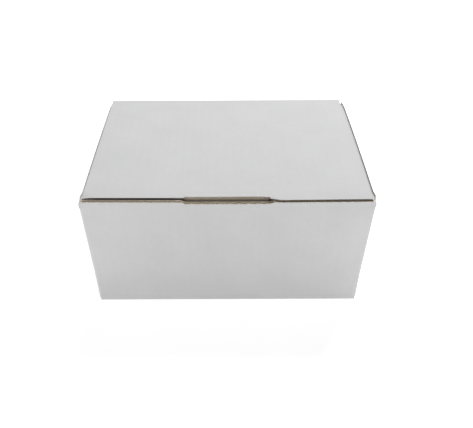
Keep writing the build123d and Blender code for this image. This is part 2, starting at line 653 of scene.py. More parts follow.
@dataclass(frozen=True)
class Value:
    """A number socket that takes part in Python sums, each adding its Math node."""

    nodes: "Nodes"
    socket: Any

    def _math(self, operation: str, first: Any, second: Any = None) -> "Value":
        """Add a Math node.

        Args:
            operation: What it works out.
            first: Its first input.
            second: Its second, if it takes one.

        Returns:
            Its result.
        """
        sockets = {0: first} if second is None else {0: first, 1: second}
        return self.nodes.add("ShaderNodeMath", {"operation": operation}, sockets).value()

    def __add__(self, other: Any) -> "Value":
        """This plus the other."""
        return self._math("ADD", self, other)

    __radd__ = __add__

    def __mul__(self, other: Any) -> "Value":
        """This times the other."""
        return self._math("MULTIPLY", self, other)

    __rmul__ = __mul__

    def __sub__(self, other: Any) -> "Value":
        """This less the other."""
        return self._math("SUBTRACT", self, other)

    def __rsub__(self, other: Any) -> "Value":
        """The other less this."""
        return self._math("SUBTRACT", other, self)

    def __truediv__(self, other: Any) -> "Value":
        """This over the other."""
        return self._math("DIVIDE", self, other)

    def __pow__(self, other: Any) -> "Value":
        """This to the power of the other."""
        return self._math("POWER", self, other)

    def sine(self) -> "Value":
        """The sine of this, in radians."""
        return self._math("SINE", self)

    def size(self) -> "Value":
        """This without its sign."""
        return self._math("ABSOLUTE", self)

    def root(self) -> "Value":
        """The square root of this."""
        return self._math("SQRT", self)

    def at_least(self, other: Any) -> "Value":
        """The larger of the two."""
        return self._math("MAXIMUM", self, other)

    def at_most(self, other: Any) -> "Value":
        """The smaller of the two."""
        return self._math("MINIMUM", self, other)

    def held(self) -> "Value":
        """This, kept from 0 to 1."""
        return self.at_least(0.0).at_most(1.0)


@dataclass(frozen=True)
class Added:
    """A node just added, whose outputs are asked for by name or number."""

    nodes: "Nodes"
    node: Any

    def out(self, key: Any = 0) -> Any:
        """An output socket."""
        return self.node.outputs[key]

    def value(self, key: Any = 0) -> Value:
        """An output socket as a number for sums."""
        return Value(self.nodes, self.node.outputs[key])


@dataclass
class Nodes:
    """Adds nodes to one tree."""

    tree: Any

    def add(
        self,
        kind: str,
        settings: Optional[dict[str, Any]] = None,
        sockets: Optional[dict[Any, Any]] = None,
    ) -> Added:
        """Add a node.

        Args:
            kind: Its type.
            settings: Its own properties, set first.
            sockets: Values or links for its inputs, by name or number.

        Returns:
            The node, for its outputs.
        """
        node = self.tree.nodes.new(kind)
        for name, setting in (settings or {}).items():
            setattr(node, name, setting)
        for key, given in (sockets or {}).items():
            self.put(node.inputs[key], given)
        return Added(self, node)

    def put(self, socket: Any, given: Any) -> None:
        """Link a socket, or set its value.

        Args:
            socket: The input.
            given: A value, a socket or a plain setting for it.
        """
        if isinstance(given, Value):
            self.tree.links.new(given.socket, socket)
        elif isinstance(given, bpy.types.NodeSocket):
            self.tree.links.new(given, socket)
        else:
            socket.default_value = given

    def ramp(self, factor: Any, stops: Sequence[tuple[float, Colour]]) -> Any:
        """Add a colour ramp.

        Args:
            factor: Where on the ramp.
            stops: Each stop's place and colour.

        Returns:
            The colour output.
        """
        added = self.add("ShaderNodeValToRGB", {}, {"Fac": factor})
        elements = added.node.color_ramp.elements
        while len(elements) < len(stops):
            elements.new(0.5)
        for element, (place, colour) in zip(elements, stops):
            element.position = place
            element.color = (*colour, 1.0)
        return added.out("Color")

    def mix(self, factor: Any, first: Any, second: Any) -> Any:
        """Mix two colours.

        Args:
            factor: The second colour's share.
            first: The first colour.
            second: The second colour.

        Returns:
            The colour output.
        """
        sockets = {"Factor": factor, 6: first, 7: second}
        return self.add("ShaderNodeMix", {"data_type": "RGBA"}, sockets).out(2)

    def noise(self, vector: Any, scale: float, detail: float, rough: float) -> Value:
        """Add a noise texture.

        Args:
            vector: Where it is read.
            scale: How fine it is, in cells to the metre.
            detail: How many octaves it has.
            rough: How much of each finer octave is kept.

        Returns:
            Its value, from about 0 to 1.
        """
        sockets = {"Vector": vector, "Scale": scale, "Detail": detail, "Roughness": rough}
        return self.add("ShaderNodeTexNoise", {}, sockets).value("Fac")


def colour(value: Colour) -> tuple[float, float, float, float]:
    """A colour with full alpha."""
    return (*value, 1.0)


@dataclass(frozen=True)
class PaperFinish:
    """What every paper of the board shares: fibres, cloudy formation and the print of the waves."""

    name: str
    light: Colour
    dark: Colour
    fibre: Colour
    crack: Colour
    fibre_share: float
    wave_tone: float
    wave_height: float
    grain_height: float
    roughness: float
    specular: float
    wear: float = 0.0
    fibre_stretch: Point3 = (1.0, 3.5, 1.0)

    def make(self, board: Board) -> bpy.types.Material:
        """Make the material.

        Args:
            board: The board, for the pitch of the waves that print through.

        Returns:
            The material.
        """
        material = bpy.data.materials.new(self.name)
        material.use_nodes = True
        tree = material.node_tree
        shader = tree.nodes["Principled BSDF"]
        nodes = Nodes(tree)
        place = nodes.add("ShaderNodeTexCoord").out("Object")
        sheet = nodes.add("ShaderNodeUVMap", {"uv_map": "sheet"}).out("UV")
        mapping = nodes.add("ShaderNodeMapping", {}, {"Vector": place, "Scale": self.fibre_stretch})
        stretched = mapping.out()

        clouds = nodes.noise(place, 38.0, 4.0, 0.6)
        mottle = nodes.noise(place, 310.0, 3.0, 0.6)
        fibres = nodes.noise(stretched, 900.0, 4.0, 0.7)
        flecks = nodes.noise(stretched, 420.0, 2.0, 0.5)

        across = nodes.add("ShaderNodeSeparateXYZ", {}, {"Vector": sheet}).value("X")
        waves = (across * (2 * math.pi / board.pitch)).sine()

        crease = nodes.add("ShaderNodeAttribute", {"attribute_name": "crease"}).value("Fac")
        rim = nodes.add("ShaderNodeAttribute", {"attribute_name": "rim"}).value("Fac")

        tone = (clouds * 0.55 + mottle * 0.3 + fibres * 0.25 + waves * self.wave_tone).held()
        base = nodes.ramp(tone, [(0.32, self.dark), (0.72, self.light)])
        marks = ((flecks - (1.0 - self.fibre_share)) * 9.0).held()
        base = nodes.mix(marks * 0.6, base, colour(self.fibre))
        cracks = ((nodes.noise(stretched, 260.0, 5.0, 0.75) - 0.5) * 6.0).held()
        worn = (crease * cracks * self.wear + rim ** 3.0 * self.wear * 0.9).held()
        base = nodes.mix(worn, base, colour(self.crack))
        nodes.put(shader.inputs["Base Color"], base)

        dull = (self.roughness + (mottle - 0.5) * 0.16 + crease * 0.08 + (clouds - 0.5) * 0.1).held()
        nodes.put(shader.inputs["Roughness"], dull)
        shader.inputs["Specular IOR Level"].default_value = self.specular

        height = waves * self.wave_height + fibres * self.grain_height + mottle * self.grain_height * 0.8
        height = height + crease * cracks * (-0.04 * MM)
        bump = nodes.add("ShaderNodeBump", {}, {"Strength": 1.0, "Distance": 1.0, "Height": height})
        nodes.put(shader.inputs["Normal"], bump.out("Normal"))
        return material


@dataclass(frozen=True)
class Papers:
    """The finishes of the board's papers."""

    white: bpy.types.Material
    kraft: bpy.types.Material
    cut: bpy.types.Material
    wave: bpy.types.Material

    @classmethod
    def make(cls, board: Board) -> "Papers":
        """Make all four.

        Args:
            board: The board, for the print of its waves.

        Returns:
            The materials.
        """
        white = PaperFinish(
            name="white_liner",
            light=(0.59, 0.59, 0.592),
            dark=(0.545, 0.545, 0.547),
            fibre=(0.53, 0.527, 0.52),
            crack=(0.36, 0.31, 0.26),
            fibre_share=0.30,
            wave_tone=0.012,
            wave_height=0.010 * MM,
            grain_height=0.010 * MM,
            roughness=0.7,
            specular=0.08,
            wear=0.07,
        )
        kraft = PaperFinish(
            name="kraft_liner",
            light=(0.43, 0.285, 0.165),
            dark=(0.31, 0.195, 0.105),
            fibre=(0.17, 0.10, 0.052),
            crack=(0.24, 0.15, 0.085),
            fibre_share=0.36,
            wave_tone=0.06,
            wave_height=0.03 * MM,
            grain_height=0.02 * MM,
            roughness=0.82,
            specular=0.18,
            wear=0.5,
        )
        cut = PaperFinish(
            name="cut_paper_edge",
            light=(0.62, 0.565, 0.49),
            dark=(0.47, 0.42, 0.36),
            fibre=(0.58, 0.53, 0.45),
            crack=(0.2, 0.15, 0.1),
            fibre_share=0.42,
            wave_tone=0.0,
            wave_height=0.0,
            grain_height=0.04 * MM,
            roughness=0.9,
            specular=0.1,
        )
        wave = PaperFinish(
            name="waved_medium",
            light=(0.57, 0.50, 0.40),
            dark=(0.46, 0.395, 0.31),
            fibre=(0.28, 0.22, 0.15),
            crack=(0.2, 0.13, 0.08),
            fibre_share=0.38,
            wave_tone=0.0,
            wave_height=0.0,
            grain_height=0.03 * MM,
            roughness=0.88,
            specular=0.12,
        )
        return cls(white.make(board), kraft.make(board), cut.make(board), wave.make(board))


@dataclass(frozen=True)
class WaveStretch:
    """One flat stretch of the waved sheet, as the named inputs of its node tree."""

    origin: Vector
    across: Vector
    along: Vector
    width: float
    length: float
    cut_width: float = 0.0
    cut_taper: float = 1.0 * MM
    cut_depth: float = 0.0
    corner_radius: float = 0.0


class WaveTree:
    """The node tree that waves a sheet, trims its ends to the board's outline and gives it thickness."""

    SIZES = (
        "Width",
        "Length",
        "Pitch",
        "Swing",
        "Paper",
        "Phase",
        "Cut width",
        "Cut taper",
        "Cut depth",
        "Corner radius",
    )
    STEPS_PER_WAVE = 10
    ROW_LENGTH = 11.0 * MM
    SEAM = 0.01 * MM

    def __init__(self, board: Board, paper: bpy.types.Material) -> None:
        """Build the tree once, for every stretch.

        Args:
            board: The board whose waves it makes.
            paper: The waved sheet's material.
        """
        self.board = board
        tree = bpy.data.node_groups.new("waved_sheet", "GeometryNodeTree")
        self.tree = tree
        tree.interface.new_socket("Geometry", in_out="OUTPUT", socket_type="NodeSocketGeometry")
        for name in self.SIZES:
            tree.interface.new_socket(name, in_out="INPUT", socket_type="NodeSocketFloat")
        for name in ("Columns", "Rows"):
            tree.interface.new_socket(name, in_out="INPUT", socket_type="NodeSocketInt")
        nodes = Nodes(tree)
        given = nodes.add("NodeGroupInput")
        size = {name: given.value(name) for name in self.SIZES}
        grid = nodes.add(
            "GeometryNodeMeshGrid",
            {},
            {
                "Size X": size["Width"],
                "Size Y": 1.0,
                "Vertices X": given.out("Columns"),
                "Vertices Y": given.out("Rows"),
            },
        )
        position = nodes.add("GeometryNodeInputPosition").out()
        spot = nodes.add("ShaderNodeSeparateXYZ", {}, {"Vector": position})
        x, share = spot.value("X"), spot.value("Y") + 0.5
        cut = ((size["Cut width"] / 2.0 - x.size()) / size["Cut taper"]).held()
        far = size["Length"] - size["Cut depth"] * cut
        over = (x.size() - (size["Width"] / 2.0 - size["Corner radius"])).at_least(0.0)
        near = size["Corner radius"] - (size["Corner radius"] ** 2.0 - over ** 2.0).at_least(0.0).root()
        turn = (x + size["Phase"]) * (2 * math.pi) / size["Pitch"]
        place = nodes.add(
            "ShaderNodeCombineXYZ",
            {},
            {"X": x, "Y": near + share * (far - near), "Z": turn.sine() * size["Swing"]},
        )
        waved = nodes.add(
            "GeometryNodeSetPosition", {}, {"Geometry": grid.out("Mesh"), "Position": place.out()}
        ).out()
        thick = nodes.add(
            "GeometryNodeExtrudeMesh",
            {"mode": "FACES"},
            {"Mesh": waved, "Offset Scale": size["Paper"], "Individual": False},
        ).out("Mesh")
        under = nodes.add("GeometryNodeFlipFaces", {}, {"Mesh": waved}).out()
        both = nodes.add("GeometryNodeJoinGeometry")
        tree.links.new(thick, both.node.inputs[0])
        tree.links.new(under, both.node.inputs[0])
        sewn = nodes.add(
            "GeometryNodeMergeByDistance", {}, {"Geometry": both.out(), "Distance": self.SEAM}
        ).out()
        real = nodes.add("GeometryNodeRealizeInstances", {}, {"Geometry": sewn}).out()
        painted = nodes.add("GeometryNodeSetMaterial", {}, {"Geometry": real, "Material": paper}).out()
        nodes.add("NodeGroupOutput", {}, {"Geometry": painted})

    def mesh(self, stretch: WaveStretch, phase: float) -> bpy.types.Mesh:
        """Wave one stretch and put it in its place.

        Args:
            stretch: Its place and outline.
            phase: Where in the wave it is cut.

        Returns:
            Its plain mesh.
        """
        board = self.board
        sizes = {
            "Width": stretch.width,
            "Length": stretch.length,
            "Pitch": board.pitch,
            "Swing": board.swing,
            "Paper": board.wave_paper,
            "Phase": phase,
            "Cut width": stretch.cut_width,
            "Cut taper": stretch.cut_taper,
            "Cut depth": stretch.cut_depth,
            "Corner radius": stretch.corner_radius,
            "Columns": 1 + max(4, round(stretch.width / board.pitch * self.STEPS_PER_WAVE)),
            "Rows": 1 + max(1, math.ceil(stretch.length / self.ROW_LENGTH)),
        }
        holder = bpy.data.objects.new("wave_work", bpy.data.meshes.new("wave_work"))
        bpy.context.scene.collection.objects.link(holder)
        modifier = holder.modifiers.new("Waves", "NODES")
        modifier.node_group = self.tree
        for item in self.tree.interface.items_tree:
            if item.item_type == "SOCKET" and item.in_out == "INPUT":
                modifier[item.identifier] = sizes[item.name]
        graph = bpy.context.evaluated_depsgraph_get()
        mesh = bpy.data.meshes.new_from_object(holder.evaluated_get(graph))
        bpy.data.objects.remove(holder)
        normal = stretch.across.cross(stretch.along)
        turn = Matrix((stretch.across, stretch.along, normal)).transposed().to_4x4()
        lift = Matrix.Translation(stretch.origin - normal * (board.wave_paper / 2))
        mesh.transform(lift @ turn)
        return mesh


def join_waves(
    name: str,
    tree: WaveTree,
    stretches: Sequence[WaveStretch],
    settle: Settle,
    paper: bpy.types.Material,
) -> bpy.types.Object:
    """Make all the waved stretches of one body as one piece.

    Args:
        name: The piece's name.
        tree: The node tree that waves them.
        stretches: Where they are.
        settle: How the folded box has settled.
        paper: The waved sheet's material.

    Returns:
        The finished object.
    """
    joined = bmesh.new()
    for number, stretch in enumerate(stretches):
        mesh = tree.mesh(stretch, phase=(PHASE_STEP * number % 1.0) * tree.board.pitch)
        joined.from_mesh(mesh)
        bpy.data.meshes.remove(mesh)
    for vertex in joined.verts:
        vertex.co = settle.move(*vertex.co)
    mesh = bpy.data.meshes.new(name)
    joined.to_mesh(mesh)
    joined.free()
    mesh.materials.clear()
    mesh.materials.append(paper)
    return finish_mesh(mesh)


class Liner(Enum):
    """A paper of the board: which side of the middle line it is on, and which way it shows."""

    OUTER = OUTER
    INNER = INNER


@dataclass
class Tray:
    """The sheet below the lid's crease: base, walls, rolled sides, corner flaps and locking tabs."""

    sizes: BoxSizes
    papers: Papers
    settle: Settle
    overfold: float = math.radians(45)
    notch_width: float = 63.5 * MM
    notch_taper: float = 3.3 * MM
    notch_depth: float = 1.4 * MM
    shoulder_inset: float = 0.8 * MM
    shoulder_reach: float = -0.1 * MM
    shoulder_dip: float = 1.4 * MM
    shoulder_cell: float = 0.6 * MM
    flap_reach: float = 52.0 * MM
    inner_clearance: float = 1.5 * MM
    tab_length: float = 30.0 * MM
    tab_spacing: float = 64.0 * MM
    tab_taper: float = 1.2 * MM
    tab_recess: float = 0.3 * MM
    slot_end_clearance: float = 0.5 * MM
    seam_lift: float = 0.6 * MM
    roll_seam: float = 4.0 * MM
    hinge_leg: float = 2.0 * MM
    fold_reach: float = 2.8 * MM
    top_fold: float = 1.4 * MM
    crest_end: float = 0.4 * MM
    edge_recess: float = 0.8 * MM
    edge_filling: float = 1.5 * MM
    cell: float = 5.0 * MM

    def __post_init__(self) -> None:
        """Work out the folds' middle lines."""
        box, board = self.sizes, self.sizes.board
        factor = math.tan(math.pi / 4 + self.overfold / 2)
        self.root_x = box.half_width - (board.half * factor - board.fold_outer * (factor - 1))
        self.wall_y = box.half_depth - board.half
        self.bend_y = self.wall_y - (self.root_x - box.corner_flap_x) / math.tan(self.overfold)
        self.outer_half = self.bend_y - board.half * math.tan(self.overfold / 2) - board.layer_gap
        self.inner_half = box.wall_inside - self.inner_clearance
        self.seam_z = board.thickness + self.seam_lift
        self.seam_x = box.half_width - self.roll_seam
        self.flap_low = board.thickness + board.layer_gap
        self.flap_high = box.side_top - board.thickness - board.layer_gap
        self.arc_x = box.half_width - board.fold_outer
        self.back_top = box.hinge.z - self.hinge_leg
        self.wrap = FoldPath(
            [
                (-box.corner_flap_x, -self.wall_y + self.flap_reach),
                (-box.corner_flap_x, -self.bend_y),
                (-self.root_x, -self.wall_y),
                (self.root_x, -self.wall_y),
                (box.corner_flap_x, -self.bend_y),
                (box.corner_flap_x, -self.wall_y + self.flap_reach),
            ],
            board,
        )
        self.cradle = FoldPath(
            [
                (-self.wall_y, self.seam_z),
                (-self.wall_y, board.half),
                (self.wall_y, board.half),
                (self.wall_y, self.seam_z),
            ],
            board,
        )
        spine_z = box.side_top - board.half
        self.roll = FoldPath(
            [
                (self.seam_x, board.half),
                (box.half_width - board.half, board.half),
                (box.half_width - board.half, spine_z),
                (box.inner_panel_x, spine_z),
                (box.inner_panel_x, self.tab_recess),
            ],
            board,
        )

    def _layers(self, liner: Liner) -> tuple[Layer, Layer]:
        """The shown and hidden offsets of a liner."""
        board, side = self.sizes.board, liner.value
        return (side * board.half, side), (side * board.core, side)

    def _notch_marks(self) -> list[float]:
        """Both ends of the finger notch, at its top and at its floor, from the middle."""
        return mirrored((self.notch_width / 2, self.notch_width / 2 - self.notch_taper))

    def _notch_share(self, across: float) -> float:
        """How deep in the notch a place is, from 0 outside to 1 at its floor."""
        return min(1.0, max(0.0, (self.notch_width / 2 - abs(across)) / self.notch_taper))

    def _slots(self) -> list[Point2]:
        """The low and high end, from front to back, of the slots on one side."""
        reach = self.tab_length / 2 + self.slot_end_clearance
        return [(centre - reach, centre + reach) for centre in mirrored((self.tab_spacing / 2,))]

    def _wall(self, liner: Liner, back: bool) -> Slab:
        """Make a wall with its two corner flaps.

        Args:
            liner: Which paper.
            back: The back wall, or else the front one.

        Returns:
            The slab.
        """
        shown, hidden = self._layers(liner)
        path, top = self.wrap, self.back_top if back else self.sizes.front_top
        middle = path.length / 2
        arc = min(self.arc_x, self.root_x - path.foot(2, liner.value))
        notch = [] if back else self._notch_marks()
        extra = [middle + x for x in mirrored((arc,)) + notch]
        heights = [self.seam_z, self.flap_low, self.flap_high, top, top - 1.0 * MM, top - 3.0 * MM]

        def keep(distance: float, height: float) -> bool:
            """Flaps only between their ends, the wall from the seam up."""
            if abs(distance - middle) > arc:
                return self.flap_low < height < self.flap_high
            return height > self.seam_z

        def shape(distance: float, height: float) -> tuple[float, float]:
            """Lower the top edge into the finger notch."""
            if back or height < top - 2.9 * MM:
                return distance, height
            drop = self.notch_depth * self._notch_share(distance - middle)
            return distance, height - drop * ease(height, top - 3.0 * MM, top - 0.9 * MM)

        return Slab(
            path=path,
            plane=Plane.WRAP,
            shown=shown,
            hidden=hidden,
            distances=path.stations(liner.value, self.cell, extra),
            widths=spread(heights, self.cell),
            keep=keep,
            shape=shape,
            across_width=False,
            flip_y=back,
        )

    def _shoulders(self, liner: Liner, back: bool) -> list[Slab]:
        """Make a wall's flat ends above its corner flaps.

        Args:
            liner: Which paper.
            back: The back wall's, or else the front one's.

        Returns:
            The right and the left end.
        """
        shown, hidden = self._layers(liner)
        top = self.back_top if back else self.sizes.front_top
        end = self.sizes.half_width + self.shoulder_reach
        start = min(self.arc_x, self.root_x - self.wrap.foot(2, liner.value))
        path = FoldPath([(start, -self.wall_y), (end, -self.wall_y)], self.sizes.board)

        def shape(distance: float, height: float) -> tuple[float, float]:
            """Round the outer corner down."""
            share = (height - self.flap_high) / (top - self.flap_high)
            near_end = ease(distance, path.length - 2 * MM, path.length)
            return distance, height - self.shoulder_dip * share * near_end

        return [
            Slab(
                path=path,
                plane=Plane.WRAP,
                shown=shown,
                hidden=hidden,
                distances=path.stations(liner.value, self.shoulder_cell),
                widths=spread([self.flap_high, top], self.cell),
                shape=shape,
                across_width=False,
                flip_x=flip,
                flip_y=back,
            )
            for flip in (False, True)
        ]

    def _base(self, liner: Liner) -> Slab:
        """Make the base, with the folds up into the front and back walls and the four slots.

        Args:
            liner: Which paper.

        Returns:
            The slab.
        """
        box, board = self.sizes, self.sizes.board
        shown, hidden = self._layers(liner)
        path = self.cradle
        middle = path.length / 2
        slot_x = [box.inner_panel_x + sign * (board.half + board.layer_gap) for sign in (-1, 1)]
        end = box.half_width - self.shoulder_inset
        slots = self._slots()
        extra = [middle + y for y in [-self.outer_half, self.outer_half, *slots[0], *slots[1]]]

        def keep(distance: float, x: float) -> bool:
            """Keep the base out to the side folds, and nothing in a slot.

            Args:
                distance: How far along the run.
                x: Where across it.

            Returns:
                Whether the cell there is kept.
            """
            y = distance - middle
            if abs(x) > self.seam_x:
                return abs(y) > self.outer_half
            in_slot = slot_x[0] < abs(x) < slot_x[1] and any(low < y < high for low, high in slots)
            return not in_slot

        return Slab(
            path=path,
            plane=Plane.COLUMN,
            shown=shown,
            hidden=hidden,
            distances=path.stations(liner.value, self.cell, extra),
            widths=spread(mirrored((0.0, *slot_x, self.seam_x, end)), self.cell),
            keep=keep,
        )

    def _side(self, liner: Liner, flip: bool) -> Slab:
        """Make one rolled side: outer panel, top, inner panel and locking tabs.

        Args:
            liner: Which paper.
            flip: The left side, or else the right one.

        Returns:
            The slab.
        """
        shown, hidden = self._layers(liner)
        path = self.roll
        top_start = path.marks[2] - self.top_fold
        foot_mark = path.length - (self.flap_low - self.tab_recess)
        half_tab = self.tab_length / 2
        tabs = [(centre - half_tab, centre + half_tab) for centre in mirrored((self.tab_spacing / 2,))]
        widths = [*mirrored((self.outer_half, self.inner_half)), *tabs[0], *tabs[1]]

        def keep(distance: float, y: float) -> bool:
            """The longer top and inner panel, then the tabs alone below its foot."""
            if distance > foot_mark:
                return any(low < y < high for low, high in tabs)
            return abs(y) < self.outer_half or distance > top_start

        def shape(distance: float, y: float) -> tuple[float, float]:
            """Taper the tabs towards their ends, and run the outer crest on to the back corner.

            Args:
                distance: How far along the run.
                y: Where across it.

            Returns:
                The place in the finished outline.
            """
            share = max(0.0, (distance - foot_mark) / (path.length - foot_mark))
            for low, high in tabs:
                if abs(y - low) < SAME:
                    return distance, y + self.tab_taper * share
                if abs(y - high) < SAME:
                    return distance, y - self.tab_taper * share
            if abs(y - self.inner_half) < SAME and distance <= path.marks[2] + SAME:
                return distance, self.sizes.half_depth - self.crest_end
            return distance, y

        return Slab(
            path=path,
            plane=Plane.ROLL,
            shown=shown,
            hidden=hidden,
            distances=path.stations(liner.value, self.cell, (foot_mark, top_start)),
            widths=spread(widths, self.cell),
            keep=keep,
            shape=shape,
            across_width=False,
            flip_x=flip,
        )

    def _crushed(self) -> list[Slab]:
        """Make the crushed waves inside the folds, the tabs and the walls' shoulders.

        Returns:
            The slabs.
        """
        board, box = self.sizes.board, self.sizes
        layers = ((OUTER * board.core, OUTER), (INNER * board.core, INNER))
        slabs = []

        def fill(path: FoldPath, plane: Plane, between: Point2, across: Point2, **flips: bool) -> None:
            """Add one filling.

            Args:
                path: The run it lies in.
                plane: The run's axes.
                between: The two distances it lies between.
                across: The two widths it lies between.
                **flips: Which ways it is mirrored.
            """
            inside = [d for d in path.stations(OUTER, self.cell) if between[0] < d < between[1]]
            slabs.append(
                Slab(
                    path=path,
                    plane=plane,
                    shown=layers[0],
                    hidden=layers[1],
                    distances=spread([*between, *inside], self.cell),
                    widths=spread(across, self.cell),
                    **flips,
                )
            )

        end = box.half_width - self.shoulder_inset
        for corner in (1, 2):
            mark = self.cradle.marks[corner]
            start = 0.0 if corner == 1 else mark - self.fold_reach
            stop = self.cradle.length if corner == 2 else mark + self.fold_reach
            fill(self.cradle, Plane.COLUMN, (start, stop), (-end, end))
        for back in (False, True):
            for mark in self.wrap.marks[2:4]:
                around = (mark - self.roll_seam, mark + self.roll_seam)
                fill(self.wrap, Plane.WRAP, around, (self.flap_low, self.flap_high), flip_y=back)
        outer, inner = (-self.outer_half, self.outer_half), (-self.inner_half, self.inner_half)
        marks, length = self.roll.marks, self.roll.length
        top_start = marks[2] - self.top_fold
        for flip in (False, True):
            fill(self.roll, Plane.ROLL, (0.0, marks[1] + self.fold_reach), outer, flip_x=flip)
            fill(self.roll, Plane.ROLL, (marks[2] - self.fold_reach, top_start), outer, flip_x=flip)
            fill(self.roll, Plane.ROLL, (top_start, marks[3] + self.fold_reach), inner, flip_x=flip)
            for centre in mirrored((self.tab_spacing / 2,)):
                reach = self.tab_length / 2 - self.tab_taper
                tab = (centre - reach, centre + reach)
                fill(self.roll, Plane.ROLL, (length - board.thickness, length), tab, flip_x=flip)
        for back in (False, True):
            for shoulder in self._shoulders(Liner.OUTER, back):
                shoulder.shown, shoulder.hidden = layers
                slabs.append(shoulder)
        slabs.append(self._cut_edge_filling())
        return slabs

    def _cut_edge_filling(self) -> Slab:
        """Make the dust and crushed paper a little below the front wall's cut edge, level with its notch.

        Returns:
            The slab.
        """
        board, top = self.sizes.board, self.sizes.front_top - self.edge_recess
        path = FoldPath([(-self.arc_x, -self.wall_y), (self.arc_x, -self.wall_y)], board)

        def shape(distance: float, height: float) -> tuple[float, float]:
            """Follow the notch."""
            return distance, height - self.notch_depth * self._notch_share(distance - self.arc_x)

        return Slab(
            path=path,
            plane=Plane.WRAP,
            shown=(OUTER * board.core, OUTER),
            hidden=(INNER * board.core, INNER),
            distances=spread([0.0, path.length, *(self.arc_x + x for x in self._notch_marks())], self.cell),
            widths=[top - self.edge_filling, top],
            shape=shape,
            across_width=False,
        )

    def _waves(self) -> list[WaveStretch]:
        """Lay out the flat stretches of the waved sheet.

        Returns:
            The stretches.
        """
        box, board = self.sizes, self.sizes.board
        x, y, z = Vector((1, 0, 0)), Vector((0, 1, 0)), Vector((0, 0, 1))
        low = board.half + self.fold_reach
        wall = 2 * self.arc_x
        inset = 0.1 * MM
        stretches = [
            WaveStretch(
                origin=Vector((0, -self.wall_y, low)),
                across=x,
                along=z,
                width=wall,
                length=box.front_top - low - inset,
                cut_width=self.notch_width,
                cut_taper=self.notch_taper,
                cut_depth=self.notch_depth,
            ),
            WaveStretch(Vector((0, self.wall_y, low)), x, z, wall, self.back_top - low),
            WaveStretch(
                origin=Vector((0, -self.wall_y + self.fold_reach, board.half)),
                across=x,
                along=y,
                width=2 * (box.side_inside - board.layer_gap),
                length=2 * (self.wall_y - self.fold_reach),
            ),
        ]
        outer_low, outer_high = low, box.side_top - board.half - self.fold_reach
        flap_length = self.flap_reach - (self.wall_y - self.bend_y) - 1.0 * MM
        for side in (-1, 1):
            for across, reach, bottom in (
                (box.half_width - board.half, self.outer_half, outer_low),
                (box.inner_panel_x, self.inner_half, self.flap_low + inset),
            ):
                height = outer_high - bottom
                spot = Vector((side * across, -reach + inset, bottom + height / 2))
                stretches.append(WaveStretch(spot, z, y, height, 2 * (reach - inset)))
            for end in (-1, 1):
                centre = end * (self.bend_y - 1.0 * MM - flap_length / 2)
                spot = Vector((side * box.corner_flap_x, centre, self.flap_low + inset))
                height = self.flap_high - self.flap_low - 2 * inset
                stretches.append(WaveStretch(spot, y, z, flap_length, height))
        return stretches

    def build(self, waves: WaveTree) -> None:
        """Make the tray's pieces and tie them to their body.

        Args:
            waves: The node tree that makes the waved sheet.
        """
        papers = self.papers
        for liner, name, paper in (
            (Liner.OUTER, "tray_white_liner", papers.white),
            (Liner.INNER, "tray_kraft_liner", papers.kraft),
        ):
            mesh = PaperMesh()
            for back in (False, True):
                mesh.add(self._wall(liner, back))
                for shoulder in self._shoulders(liner, back):
                    mesh.add(shoulder)
            mesh.add(self._base(liner))
            for flip in (False, True):
                mesh.add(self._side(liner, flip))
            piece = mesh.build(name, self.settle, paper, papers.cut)
            attach(piece, "tray")
            if liner is Liner.OUTER:
                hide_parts("tray")
        core = PaperMesh()
        for slab in self._crushed():
            core.add(slab)
        attach(core.build("tray_crushed_folds", self.settle, papers.cut, papers.cut), "tray")
        medium = join_waves("tray_waved_medium", waves, self._waves(), self.settle, papers.wave)
        attach(medium, "tray")


